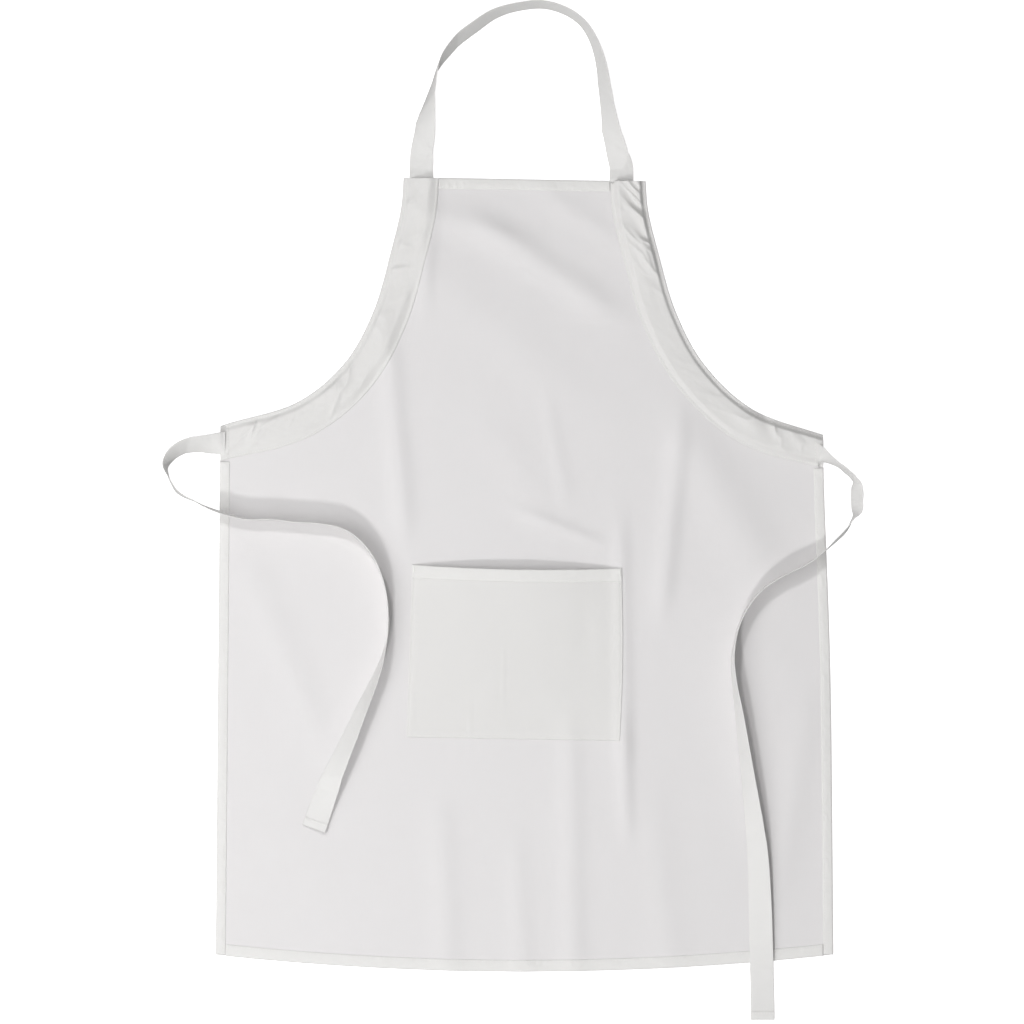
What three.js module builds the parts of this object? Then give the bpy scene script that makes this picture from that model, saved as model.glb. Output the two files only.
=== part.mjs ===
// White cotton bib apron, laid flat with its face up.
// Millimetres. +Z points up off the surface that it lies on, +Y towards the neck and +X to the
// right as seen from above. The origin is under the middle of the cloth panel.
import * as THREE from "three";

// Driving dimensions of the panel
const LENGTH = 900; // bib top to the middle of the bottom hem
const BIB_HALF = 137; // half the bib's top edge
const WAIST_HALF = 345; // half the width at the armholes' lower corners
const HEM_HALF = 350; // half the width at the bottom corners
const WAIST_Y = 161;
const CORNER_RISE = 19; // the bottom corners lie this much higher than the middle
const TOP_Y = LENGTH / 2;
const BOTTOM_Y = -LENGTH / 2;
const ARMHOLE = [
  [BIB_HALF, TOP_Y], [140, 415], [151, 368], [171, 299],
  [205, 238], [262, 189], [WAIST_HALF, WAIST_Y],
];

// The bib folds down over the skirt along this line
const FOLD_Y = 170;
const FOLD_GAP = 0.5; // each side of the line

// Widths of the sewn bands
const TOP_HEM = 12;
const SIDE_HEM = 11;
const BOTTOM_HEM = 13;
const FACING = 40; // the armhole facing, which is a channel for the tape
const LIP = 6; // armhole edge to the facing's outer stitch line
const INSET = 2; // folded edge to its stitch line

// Cloth, tape and thread
const CLOTH = 0.6;
const HEM_CLOTH = 1.0; // two turned layers pressed flat
const TAPE = 27; // width
const TAPE_THICK = 1.0;
const THREAD = 1.0; // width of a stitch line
const THREAD_THICK = 0.3;
const GAP = 0.3; // air between layers and between neighbours

// Heights of the undersides of the layers
const HEM_Z = CLOTH + GAP;
const CHANNEL_Z = CLOTH + GAP;
const FACING_Z = CHANNEL_Z + TAPE_THICK + GAP;
const HEM_THREAD_Z = HEM_Z + HEM_CLOTH + GAP;
const FACING_THREAD_Z = FACING_Z + CLOTH + GAP;

// Patch pocket, sewn down on three sides
const POCKET = { left: -131, right: 109, top: 10, bottom: -186, gape: 12, hem: 15, edge: 4 };

// Routes of the tape where it lies free. Each row: x, y, lean in degrees, height of the lower edge.
// The lean turns the tape about its own run: 0 and 180 lie flat, 90 stands on edge.
const NECK_ROUTE = [
  [-117, 451.5, 0, 0.9], [-116.5, 475, -8, 1.2], [-113, 500, -28, 1.5], [-109, 525, -52, 1.5],
  [-104, 550, -76, 1.5], [-98.5, 571, -90, 1.5], [-89, 588, -112, 1.5], [-75, 606, -117, 1.5],
  [-56, 622, -120, 1.5], [-35, 636, -116, 1.5], [-10, 644, -108, 1.5], [20, 646, -105, 1.5],
  [46, 639, -105, 1.5], [66, 625, -105, 1.5], [79, 604, -108, 1.5], [87, 578, -114, 1.5],
  [92, 546, -122, 1.5], [98, 508, -136, 1.5], [104, 484, -154, 1.4], [109.5, 464, -174, 1.0],
  [110, 452, -180, 0.9],
];
const LEFT_ROUTE = [
  [-346.2, 145, 0, 0.9], [-357, 146, -30, 1.2], [-372, 147, -48, 1.6], [-388, 144, -56, 2.2],
  [-400, 136, -64, 2.6], [-406.5, 125, -76, 3], [-405.5, 115, -90, 3], [-400, 104, -95, 3],
  [-391, 92, -96, 3], [-366, 79, -88, 3], [-345, 71, -86, 3], [-316, 63, -90, 3],
  [-288, 62.5, -90, 3], [-259, 59.5, -90, 3], [-233, 58, -90, 3], [-208, 53, -90, 3],
  [-190, 42, -92, 3], [-174, 24, -94, 3], [-163, 2, -94, 3], [-156, -25, -92, 3],
  [-154, -58, -90, 3], [-159, -88, -96, 3], [-168, -115, -106, 3], [-186, -156, -120, 3],
  [-208, -207, -140, 3], [-222, -240, -162, 3], [-233, -271, -180, 3], [-239, -288, -180, 3],
];
const LEFT_HINGE_ROW = 6;
const RIGHT_ROUTE = [
  [346.6, 138, 0, 0.9], [352, 137.8, 34, 1.4], [362, 125, 82, 2.4], [373, 110, 74, 3],
  [377, 97, 66, 3], [377, 78, 68, 3], [373, 64, 90, 3], [364, 50, 98, 3],
  [352, 38, 98, 3], [339, 26, 94, 3], [322, 13, 90, 3], [304, 4, 90, 3],
  [286, -5, 90, 3], [270, -16, 90, 3], [257, -31, 90, 3], [247, -48, 90, 3],
  [240, -68, 90, 3], [236, -95, 86, 3], [238, -123, 80, 3], [243, -155, 72, 3],
  [250, -205, 62, 3], [257, -256, 50, 3], [264, -313, 32, 3], [267, -369, 20, 3],
  [269, -440, 8, 3], [270, -486, 0, 3], [270, -505, 0, 3],
];
const RIGHT_HINGE_ROW = 6;
const HINGE_GAP = 1; // each side of a tie's hinge, along the tape
const END_HEM = 10; // the folded end of a tie
const TACK = 8; // a bar tack at a corner of the pocket's mouth

// Mesh fineness
const CURVE_STEPS = 28;
const RIBBON_STEP = 11;
const POCKET_COLUMNS = 20;
const POCKET_ROWS = 12;

const COTTON = { color: 0xe9e8e6, roughness: 0.92, metalness: 0 };
const TWILL_TAPE = { color: 0xeceae6, roughness: 0.88, metalness: 0 };
const SEWING_THREAD = { color: 0xf2f1ee, roughness: 0.7, metalness: 0 };

const apron = new THREE.Group();

function add(name, geometry, look) {
  const mesh = new THREE.Mesh(geometry, new THREE.MeshStandardMaterial(look));
  mesh.name = name;
  apron.add(mesh);
}

// A flat piece of cloth: the outline is a list of [x, y], thickened upwards from z
function plate(outline, z, thickness) {
  const shape = new THREE.Shape(outline.map(([x, y]) => new THREE.Vector2(x, y)));
  const solid = new THREE.ExtrudeGeometry(shape, { depth: thickness, bevelEnabled: false });
  return solid.translate(0, 0, z);
}

// The band between two lines that run the same way
function band(outer, inner, z, thickness) {
  return plate([...outer, ...inner.slice().reverse()], z, thickness);
}

const mirrored = (line) => line.map(([x, y]) => [-x, y]);

// The right armhole edge moved inwards by inset, from the bib's top to the side edge
function armholeLine(inset) {
  const edge = new THREE.CatmullRomCurve3(
    ARMHOLE.map(([x, y]) => new THREE.Vector3(x, y, 0)), false, "catmullrom",
  );
  const line = [];
  for (let i = 0; i <= CURVE_STEPS; i += 1) {
    const at = edge.getPoint(i / CURVE_STEPS);
    const along = edge.getTangent(i / CURVE_STEPS);
    line.push([at.x + along.y * inset, at.y - along.x * inset]);
  }
  return squared(line);
}

// Carries a line's ends onto the bib's top edge and the side edge
function squared(line) {
  const last = line.length - 1;
  const kept = line.filter(([x, y], i) => i === 0 || i === last || (y < TOP_Y && x < sideX(y)));
  kept[0] = [kept[0][0], TOP_Y];
  const end = kept[kept.length - 1];
  kept[kept.length - 1] = [sideX(end[1]), end[1]];
  return kept;
}

// Half the skirt's width at height y
function sideX(y) {
  const cornerY = BOTTOM_Y + CORNER_RISE;
  return HEM_HALF + ((WAIST_HALF - HEM_HALF) * (y - cornerY)) / (WAIST_Y - cornerY);
}

// The bottom edge moved up by inset, as far out as half
function bottomLine(inset, half) {
  const line = [];
  for (let i = 0; i <= CURVE_STEPS; i += 1) {
    const x = -half + (2 * half * i) / CURVE_STEPS;
    line.push([x, BOTTOM_Y + CORNER_RISE * (x / HEM_HALF) ** 2 + inset]);
  }
  return line;
}

// The stretch of a line above the fold, then the stretch below it, both cut square to it
function above(line) {
  const y = FOLD_Y + FOLD_GAP;
  const kept = line.filter((p) => p[1] > y);
  return [...kept, crossing(line, y)];
}

function below(line) {
  const y = FOLD_Y - FOLD_GAP;
  const kept = line.filter((p) => p[1] < y);
  return [crossing(line, y), ...kept];
}

// The point at which a line first comes down to height y
function crossing(line, y) {
  const i = line.findIndex((p) => p[1] <= y);
  const [x0, y0] = line[i - 1];
  const [x1, y1] = line[i];
  return [x0 + ((x1 - x0) * (y - y0)) / (y1 - y0), y];
}

// A strip of even width along a line
function stripOf(line, width, z, thickness) {
  const sides = [[], []];
  line.forEach((p, i) => {
    const before = line[Math.max(i - 1, 0)];
    const after = line[Math.min(i + 1, line.length - 1)];
    const along = new THREE.Vector2(after[0] - before[0], after[1] - before[1]).normalize();
    sides[0].push([p[0] - (along.y * width) / 2, p[1] + (along.x * width) / 2]);
    sides[1].push([p[0] + (along.y * width) / 2, p[1] - (along.x * width) / 2]);
  });
  return band(sides[0], sides[1], z, thickness);
}

function thread(name, line, z) {
  add(name, stripOf(line, THREAD, z, THREAD_THICK), SEWING_THREAD);
}

// Skirt and bib: one cloth on the real apron, parted here along the fold
function panels() {
  const edge = armholeLine(0);
  const bibSide = above(edge);
  add("bib_panel", band(bibSide, mirrored(bibSide), 0, CLOTH), COTTON);
  const skirtSide = below(edge);
  const hem = bottomLine(0, HEM_HALF);
  const outline = [...skirtSide, ...hem.slice().reverse(), ...mirrored(skirtSide).reverse()];
  add("skirt_panel", plate(outline, 0, CLOTH), COTTON);
}

function hems() {
  const reach = armholeLine(FACING)[0][0] - GAP;
  const top = [[-reach, TOP_Y], [reach, TOP_Y]];
  const under = top.map(([x]) => [x, TOP_Y - TOP_HEM]);
  add("bib_top_hem", band(top, under, HEM_Z, HEM_CLOTH), COTTON);
  const sewn = top.map(([x]) => [x * 0.98, TOP_Y - TOP_HEM + INSET]);
  thread("bib_top_stitching", sewn, HEM_THREAD_Z);

  const inner = HEM_HALF - SIDE_HEM - GAP;
  add("bottom_hem", band(bottomLine(BOTTOM_HEM, inner), bottomLine(0, inner), HEM_Z, HEM_CLOTH), COTTON);
  thread("bottom_stitching", bottomLine(BOTTOM_HEM - INSET, inner - 1), HEM_THREAD_Z);

  const upper = armholeLine(FACING).at(-1)[1] - GAP;
  const lower = BOTTOM_Y + CORNER_RISE;
  for (const [side, sign] of [["left", -1], ["right", 1]]) {
    const at = (y, inset) => [sign * (sideX(y) - inset), y];
    const outer = [at(upper, 0), at(lower, 0)];
    const folded = [at(upper, SIDE_HEM), at(lower, SIDE_HEM)];
    add(`${side}_side_hem`, band(outer, folded, HEM_Z, HEM_CLOTH), COTTON);
    const line = [at(upper - 1, SIDE_HEM - INSET), at(lower + 1, SIDE_HEM - INSET)];
    thread(`${side}_side_stitching`, line, HEM_THREAD_Z);
  }
}

// The armhole facings, sewn along both edges to make channels, with the tape that runs through
function facings() {
  const outer = armholeLine(0);
  const inner = armholeLine(FACING);
  const middle = (FACING + LIP - INSET) / 2;
  const lines = {
    tape: [armholeLine(middle - TAPE / 2), armholeLine(middle + TAPE / 2)],
    outerThread: armholeLine(LIP),
    innerThread: armholeLine(FACING - INSET),
  };
  for (const [side, turn] of [["left", mirrored], ["right", (line) => line]]) {
    for (const [part, cut] of [["facing", above], ["facing_end", below]]) {
      const name = `${side}_${part}`;
      add(name, band(turn(cut(outer)), turn(cut(inner)), FACING_Z, CLOTH), COTTON);
      const tapeEdges = lines.tape.map((line) => turn(cut(line)));
      add(`${name}_tape`, band(...tapeEdges, CHANNEL_Z, TAPE_THICK), TWILL_TAPE);
      thread(`${name}_outer_stitching`, turn(cut(lines.outerThread)), FACING_THREAD_Z);
      thread(`${name}_inner_stitching`, turn(cut(lines.innerThread)), FACING_THREAD_Z);
    }
  }
}

// Height of the pocket cloth's underside: flat where it is sewn, raised towards the mouth
function pocketRise(x, y) {
  const { left, right, top, bottom, gape, edge } = POCKET;
  const across = THREE.MathUtils.clamp((x - left - edge) / (right - left - 2 * edge), 0, 1);
  const up = THREE.MathUtils.clamp((y - bottom - edge) / (top - bottom - edge), 0, 1);
  return HEM_Z + gape * Math.sin(Math.PI * across) ** 0.9 * up ** 1.4;
}

// A layer of pocket cloth from y0 up to y1 that follows the rise. Its outermost columns are the
// flat margins that are sewn down.
function pocketCloth(y0, y1, lift, thickness) {
  const { left, right, edge } = POCKET;
  const solid = new THREE.BoxGeometry(1, y1 - y0, thickness, POCKET_COLUMNS, POCKET_ROWS, 1);
  const at = solid.getAttribute("position");
  for (let i = 0; i < at.count; i += 1) {
    const column = Math.round((at.getX(i) + 0.5) * POCKET_COLUMNS);
    const inner = left + edge + ((right - left - 2 * edge) * (column - 1)) / (POCKET_COLUMNS - 2);
    const x = THREE.MathUtils.clamp(inner, left, right);
    const y = at.getY(i) + (y0 + y1) / 2;
    const outermost = column === 0 || column === POCKET_COLUMNS;
    const margin = column === 0 ? left : right;
    at.setXYZ(i, outermost ? margin : x, y, pocketRise(x, y) + lift + at.getZ(i) + thickness / 2);
  }
  return solid;
}

function pocket() {
  const { left, right, top, bottom, hem } = POCKET;
  add("pocket_panel", pocketCloth(bottom, top, 0, CLOTH), COTTON);
  const onCloth = CLOTH + GAP;
  const onHem = onCloth + HEM_CLOTH + GAP;
  add("pocket_hem", pocketCloth(top - hem, top, onCloth, HEM_CLOTH), COTTON);
  const sewnAt = top - hem + INSET;
  add("pocket_hem_stitching", pocketCloth(sewnAt, sewnAt + THREAD, onHem, THREAD_THICK), SEWING_THREAD);
  const under = top - hem - 1;
  const sewn = [
    [left + INSET, under], [left + INSET, bottom + INSET],
    [right - INSET, bottom + INSET], [right - INSET, under],
  ];
  add("pocket_stitching", mitredU(sewn, HEM_Z + onCloth), SEWING_THREAD);
  for (const [side, x] of [["left", left + INSET], ["right", right - INSET]]) {
    const tack = new THREE.BoxGeometry(2.4, TACK, 0.6);
    tack.translate(x, top - TACK / 2 - 1, HEM_Z + onHem + 0.3);
    add(`${side}_pocket_tack`, tack, SEWING_THREAD);
  }
}

// A U of thread with square corners, given by its four corner points
function mitredU([a, b, c, d], z) {
  const h = THREAD / 2;
  const outer = [[a[0] - h, a[1]], [b[0] - h, b[1] - h], [c[0] + h, c[1] - h], [d[0] + h, d[1]]];
  const inner = [[a[0] + h, a[1]], [b[0] + h, b[1] + h], [c[0] - h, c[1] + h], [d[0] - h, d[1]]];
  return band(outer, inner, z, THREAD_THICK);
}

// A route's centre line, seen from above
function planOf(route) {
  const plan = new THREE.CatmullRomCurve3(
    route.map(([x, y]) => new THREE.Vector3(x, y, 0)), false, "catmullrom",
  );
  plan.arcLengthDivisions = 800;
  return plan;
}

// The length along a route at which it passes one of its rows
function lengthAtRow(route, row) {
  const plan = planOf(route);
  const lengths = plan.getLengths();
  return lengths[Math.round((row / (route.length - 1)) * (lengths.length - 1))];
}

// Tape along a route from one length to another, moved by lift along its face
function ribbon(route, from, to, lift) {
  const plan = planOf(route);
  const total = plan.getLength();
  const steps = Math.max(1, Math.round((to - from) / RIBBON_STEP));
  const solid = new THREE.BoxGeometry(TAPE, TAPE_THICK, 1, 1, 1, steps);
  const at = solid.getAttribute("position");
  const up = new THREE.Vector3(0, 0, 1);
  for (let i = 0; i < at.count; i += 1) {
    const length = from + (at.getZ(i) + 0.5) * (to - from);
    const t = plan.getUtoTmapping(Math.min(length / total, 1));
    const middle = plan.getPoint(t);
    const along = plan.getTangent(t);
    const row = Math.min(Math.floor(t * (route.length - 1)), route.length - 2);
    const part = t * (route.length - 1) - row;
    const mix = (column) => THREE.MathUtils.lerp(route[row][column], route[row + 1][column], part);
    const lean = THREE.MathUtils.degToRad(mix(2));
    const across = new THREE.Vector3(-along.y, along.x, 0)
      .multiplyScalar(Math.cos(lean))
      .addScaledVector(up, Math.sin(lean));
    const face = along.clone().cross(across);
    const raised = mix(3) + (TAPE / 2) * Math.abs(Math.sin(lean)) + TAPE_THICK / 2;
    middle.setZ(raised);
    middle.addScaledVector(across, at.getX(i)).addScaledVector(face, at.getY(i) + lift);
    at.setXYZ(i, middle.x, middle.y, middle.z);
  }
  return solid;
}

function tapes() {
  add("neck_strap", ribbon(NECK_ROUTE, 0, planOf(NECK_ROUTE).getLength(), 0), TWILL_TAPE);
  for (const [side, route, row, top] of [
    ["left", LEFT_ROUTE, LEFT_HINGE_ROW, -1],
    ["right", RIGHT_ROUTE, RIGHT_HINGE_ROW, 1],
  ]) {
    const hinge = lengthAtRow(route, row);
    const end = planOf(route).getLength();
    add(`${side}_tie_root`, ribbon(route, 0, hinge - HINGE_GAP, 0), TWILL_TAPE);
    add(`${side}_tie`, ribbon(route, hinge + HINGE_GAP, end, 0), TWILL_TAPE);
    const lift = top * (TAPE_THICK + GAP);
    add(`${side}_tie_end_hem`, ribbon(route, end - END_HEM, end, lift), TWILL_TAPE);
  }
}

panels();
hems();
facings();
pocket();
tapes();

export default apron;
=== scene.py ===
"""White cotton bib apron, laid flat with its face up: cloth, hems, facings, pocket, tapes and stitches.

Metres, +Z up off the surface that it lies on, +Y towards the neck, +X to the right as seen from above.
"""

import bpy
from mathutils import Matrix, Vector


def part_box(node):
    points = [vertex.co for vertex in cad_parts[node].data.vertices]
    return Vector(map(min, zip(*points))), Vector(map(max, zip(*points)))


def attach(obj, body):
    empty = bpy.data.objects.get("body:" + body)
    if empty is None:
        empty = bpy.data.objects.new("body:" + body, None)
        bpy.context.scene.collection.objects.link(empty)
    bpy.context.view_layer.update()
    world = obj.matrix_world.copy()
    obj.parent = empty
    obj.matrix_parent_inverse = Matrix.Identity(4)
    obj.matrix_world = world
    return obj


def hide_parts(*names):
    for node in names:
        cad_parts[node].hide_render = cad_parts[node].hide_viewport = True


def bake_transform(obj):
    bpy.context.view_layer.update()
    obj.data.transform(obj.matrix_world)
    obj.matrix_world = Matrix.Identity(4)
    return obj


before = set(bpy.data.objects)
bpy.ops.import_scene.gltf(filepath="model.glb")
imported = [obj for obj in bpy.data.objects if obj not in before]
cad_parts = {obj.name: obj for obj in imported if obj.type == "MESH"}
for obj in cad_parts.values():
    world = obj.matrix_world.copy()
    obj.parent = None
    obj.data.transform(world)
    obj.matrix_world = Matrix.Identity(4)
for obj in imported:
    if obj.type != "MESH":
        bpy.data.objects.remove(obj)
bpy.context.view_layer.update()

import math

import bpy
import numpy as np
from bpy.props import FloatProperty, FloatVectorProperty, IntProperty, PointerProperty
from bpy.types import Operator, Panel, PropertyGroup

bl_info = {
    "name": "Bib apron",
    "version": (1, 0, 0),
    "blender": (4, 5, 0),
    "location": "View3D > Sidebar > Apron",
    "description": "Builds a white cotton bib apron that lies flat, around its packed frame",
    "category": "Object",
}

SKIRT, BIB = "skirt", "bib"
MM = 0.001
GAP = 0.03 * MM  # air between the body cloth and the layers sewn on it
WRAP = 0.35 * MM  # how far a turned layer wraps past the body cloth's edge

# Outline of the body cloth, from the frame
BIB_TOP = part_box("bib_top_hem")[1].y
HEM_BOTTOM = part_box("skirt_panel")[0].y
HEM_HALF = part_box("skirt_panel")[1].x
WAIST_Y, WAIST_HALF = 0.161, 0.345
CORNER_RISE = 0.019
ARMHOLE = (  # right edge, from the bib's top to the waist corner
    (0.137, 0.450), (0.140, 0.415), (0.151, 0.368), (0.171, 0.299),
    (0.205, 0.238), (0.262, 0.189), (WAIST_HALF, WAIST_Y),
)
CORNER_Y = HEM_BOTTOM + CORNER_RISE

# Widths of the sewn bands
TOP_HEM, SIDE_HEM, BOTTOM_HEM, POCKET_HEM = 0.012, 0.011, 0.013, 0.015
FACING = 0.040
LIP = 0.003  # armhole edge to the facing's outer row of stitches
INSET = 0.002  # a sewn band's inner edge to its row of stitches
TAPE_INSET = 0.022  # armhole edge to the middle of the tape in its channel
MOUTH = 0.009  # side edge to the row of stitches across the facing's end

# Soft ridges in the body cloth: start, end, spread of the bell, height
FOLDS = (
    ((-0.106, 0.450), (-0.113, 0.340), 0.011, 0.0042),
    ((-0.152, 0.235), (-0.139, 0.085), 0.013, 0.0046),
    ((0.174, 0.142), (0.159, -0.005), 0.012, 0.0050),
    ((0.205, 0.130), (0.255, 0.040), 0.032, 0.0060),
    ((-0.085, 0.402), (-0.030, 0.386), 0.016, 0.0036),
    ((-0.030, 0.386), (0.070, 0.318), 0.017, 0.0054),
    ((0.040, 0.425), (0.090, 0.390), 0.014, 0.0022),
    ((-0.085, 0.330), (0.030, 0.230), 0.030, 0.0022),
    ((0.020, 0.062), (0.058, 0.047), 0.008, 0.0030),
    ((0.030, 0.172), (0.042, 0.112), 0.010, 0.0016),
    ((-0.020, 0.140), (0.010, 0.090), 0.022, 0.0016),
    ((0.1095, 0.025), (0.1135, -0.185), 0.0095, 0.0038),
    ((0.1120, -0.195), (0.1150, -0.262), 0.009, 0.0034),
    ((0.052, -0.205), (0.056, -0.430), 0.014, 0.0032),
    ((-0.094, -0.300), (-0.086, -0.445), 0.016, 0.0028),
    ((-0.008, -0.340), (-0.002, -0.446), 0.014, 0.0022),
    ((0.150, -0.300), (0.165, -0.440), 0.020, 0.0022),
    ((-0.300, -0.020), (-0.240, -0.165), 0.020, 0.0030),
    ((0.315, -0.180), (0.290, -0.330), 0.018, 0.0024),
    ((0.072, 0.2915), (0.088, 0.2910), 0.0022, 0.0006),
    ((-0.0237, -0.106), (-0.0240, -0.125), 0.0018, 0.0005),
    ((-0.062, -0.168), (-0.062, -0.186), 0.0018, 0.0005),
)

# Routes of the tape where it lies free. Each row: x, y, lean in degrees.
# The lean turns the tape about its own run: 0 and 180 lie flat, 90 stands on edge.
NECK_ROUTE = (
    (-0.117, 0.4445, 0), (-0.117, 0.4515, 0), (-0.1165, 0.475, -8), (-0.113, 0.500, -28),
    (-0.109, 0.525, -52), (-0.104, 0.550, -74), (-0.0985, 0.571, -90), (-0.090, 0.588, -106),
    (-0.075, 0.606, -112), (-0.056, 0.621, -114), (-0.035, 0.635, -112), (-0.010, 0.643, -107),
    (0.020, 0.646, -105), (0.046, 0.639, -105), (0.066, 0.625, -105), (0.079, 0.604, -108),
    (0.087, 0.578, -114), (0.092, 0.546, -122), (0.098, 0.508, -136), (0.104, 0.484, -154),
    (0.1095, 0.464, -174), (0.110, 0.452, -180), (0.110, 0.4445, -180),
)
LEFT_ROUTE = (
    (-0.3395, 0.1490, -12), (-0.3462, 0.1490, -24), (-0.357, 0.1485, -38), (-0.372, 0.148, -48),
    (-0.388, 0.144, -56), (-0.400, 0.136, -64), (-0.4065, 0.125, -76), (-0.4055, 0.115, -90),
    (-0.400, 0.104, -95), (-0.391, 0.092, -96), (-0.366, 0.079, -88), (-0.345, 0.071, -86),
    (-0.316, 0.063, -90), (-0.288, 0.0625, -90), (-0.259, 0.0595, -90), (-0.233, 0.058, -90),
    (-0.208, 0.053, -90), (-0.190, 0.042, -92), (-0.174, 0.024, -94), (-0.163, 0.002, -94),
    (-0.156, -0.025, -92), (-0.154, -0.058, -90), (-0.159, -0.088, -96), (-0.168, -0.115, -106),
    (-0.186, -0.156, -120), (-0.208, -0.207, -136), (-0.222, -0.240, -156), (-0.233, -0.271, -174),
    (-0.239, -0.288, -176),
)
RIGHT_ROUTE = (
    (0.3335, 0.1350, 14), (0.3380, 0.1345, 52), (0.345, 0.1310, 70), (0.360, 0.1220, 80),
    (0.3735, 0.108, 78), (0.377, 0.099, 64), (0.377, 0.075, 64), (0.373, 0.064, 88),
    (0.364, 0.050, 98), (0.352, 0.038, 98), (0.339, 0.026, 94), (0.322, 0.013, 90),
    (0.304, 0.004, 90), (0.286, -0.005, 90), (0.270, -0.016, 90), (0.257, -0.031, 90),
    (0.247, -0.048, 90), (0.240, -0.068, 90), (0.236, -0.095, 86), (0.238, -0.123, 80),
    (0.243, -0.155, 72), (0.250, -0.205, 62), (0.257, -0.256, 50), (0.264, -0.313, 32),
    (0.267, -0.369, 20), (0.269, -0.440, 8), (0.270, -0.486, 0), (0.270, -0.505, 0),
)

# Creases across the tape. Each row: length along it, height, slant.
NECK_CREASES = (
    (0.024, 0.0028, 1.1), (0.050, 0.0026, -1.2), (0.090, 0.0010, 1.0), (0.170, 0.0006, 0.4),
    (0.412, -0.0009, 1.0), (0.470, -0.0020, 1.1), (0.503, -0.0026, -1.3),
)
LEFT_CREASES = (
    (0.024, 0.0010, 0.5), (0.042, -0.0008, -0.4), (0.130, 0.0006, 0.0), (0.560, 0.0007, 0.6),
    (0.618, -0.0009, -0.3), (0.634, 0.0009, -0.2),
)
RIGHT_CREASES = (
    (0.030, 0.0010, 0.4), (0.048, -0.0012, 0.2), (0.061, 0.0008, 0.0), (0.073, 0.0012, -0.1),
    (0.520, 0.0006, 0.5), (0.610, -0.0006, 0.3), (0.668, 0.0007, 0.2),
)
NECK_SEED, TIE_SEED = 11, 17
TAPE_STEP, END_STEP = 0.0022, 0.0006  # length between a tape's rings, and along its folded end
END_LIFT = 2.2 * MM  # how far a tie's folded end stands up

# A stitch is a bead of five rings: place along it, share of the thread's half width, arch as share of its width
BEAD_PLACE = np.array([0.0, 0.12, 0.5, 0.88, 1.0])
BEAD_FAT = np.array([0.25, 0.85, 1.0, 0.85, 0.25])
BEAD_ARCH = np.array([-0.45, -0.05, 0.12, -0.05, -0.45])
BEAD_SIDES = 6

LATTICE = 64  # the noise repeats after so many cells
POCKET_STEPS = 150  # grid steps along each side of the pocket

CAMERA = (-0.0142, 0.0711, 7.5)
VIEW_WIDTH = 1.162  # what the camera sees at the surface
LAMPS = (  # name, place, side of the square, watts
    ("soft_box_near", (-1.07, -3.53, 4.09), 0.60, 93),
    ("soft_box_far", (-1.25, 2.35, 4.81), 0.60, 72),
    ("soft_box_left", (-1.00, -0.30, 1.60), 1.10, 11.0),
)
WORLD_LIGHT = 0.355
FLOOR_HALF, FLOOR_UNDER, FLOOR_TOP = 5, -0.02, -0.0002


# ------------------------------------------------------------------ settings
class ApronSizes(PropertyGroup):
    cloth: FloatProperty(
        name="Cloth", description="Thickness of one layer of cotton", default=0.6 * MM, unit="LENGTH"
    )
    turned: FloatProperty(
        name="Turned layers", description="Thickness of a hem's turned layers", default=1.0 * MM, unit="LENGTH"
    )
    tape_width: FloatProperty(
        name="Tape width", description="Width of the neck and waist tape", default=27 * MM, unit="LENGTH"
    )
    tape_thickness: FloatProperty(
        name="Tape thickness", description="Thickness of the tape", default=1.0 * MM, unit="LENGTH"
    )
    end_hem: FloatProperty(
        name="Tie end hem", description="Length of the fold at a tie's end", default=10 * MM, unit="LENGTH"
    )
    stitch: FloatProperty(
        name="Stitch", description="Length from one stitch to the next", default=3.1 * MM, unit="LENGTH"
    )
    thread: FloatProperty(
        name="Thread", description="Width of the sewing thread", default=0.55 * MM, unit="LENGTH"
    )
    gape: FloatProperty(
        name="Pocket gape", description="How far the pocket's mouth stands open", default=12 * MM, unit="LENGTH"
    )
    waves: FloatProperty(
        name="Waves", description="Height of the cloth's broad waves", default=2.4 * MM, unit="LENGTH"
    )
    seed: IntProperty(name="Seed", description="Changes where small creases fall", default=7, min=0)


class ApronColours(PropertyGroup):
    cotton: FloatVectorProperty(
        name="Cotton", description="Single body cloth", subtype="COLOR", size=3, default=(0.742, 0.728, 0.730)
    )
    layered: FloatVectorProperty(
        name="Layered cotton",
        description="Cloth that lies in two or more layers",
        subtype="COLOR",
        size=3,
        default=(0.735, 0.727, 0.716),
    )
    folded: FloatVectorProperty(
        name="Folded cotton",
        description="Cloth of the hems, which lies in three layers",
        subtype="COLOR",
        size=3,
        default=(0.765, 0.758, 0.745),
    )
    tape: FloatVectorProperty(
        name="Tape", description="Neck and waist tape", subtype="COLOR", size=3, default=(0.752, 0.746, 0.735)
    )
    thread: FloatVectorProperty(
        name="Thread", description="Sewing thread", subtype="COLOR", size=3, default=(0.82, 0.82, 0.80)
    )
    floor: FloatVectorProperty(
        name="Floor", description="Surface under the apron", subtype="COLOR", size=3, default=(0.93, 0.93, 0.93)
    )


def sizes():
    return bpy.context.scene.apron_sizes


def colours():
    return bpy.context.scene.apron_colours


# ------------------------------------------------------------------ numbers
def smooth(t):
    """0 below 0, 1 above 1, and 3t^2 - 2t^3 between."""
    t = np.clip(t, 0, 1)
    return t * t * (3 - 2 * t)


def bell(t):
    """The exponential of minus t squared."""
    return np.exp(-np.square(t))


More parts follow.
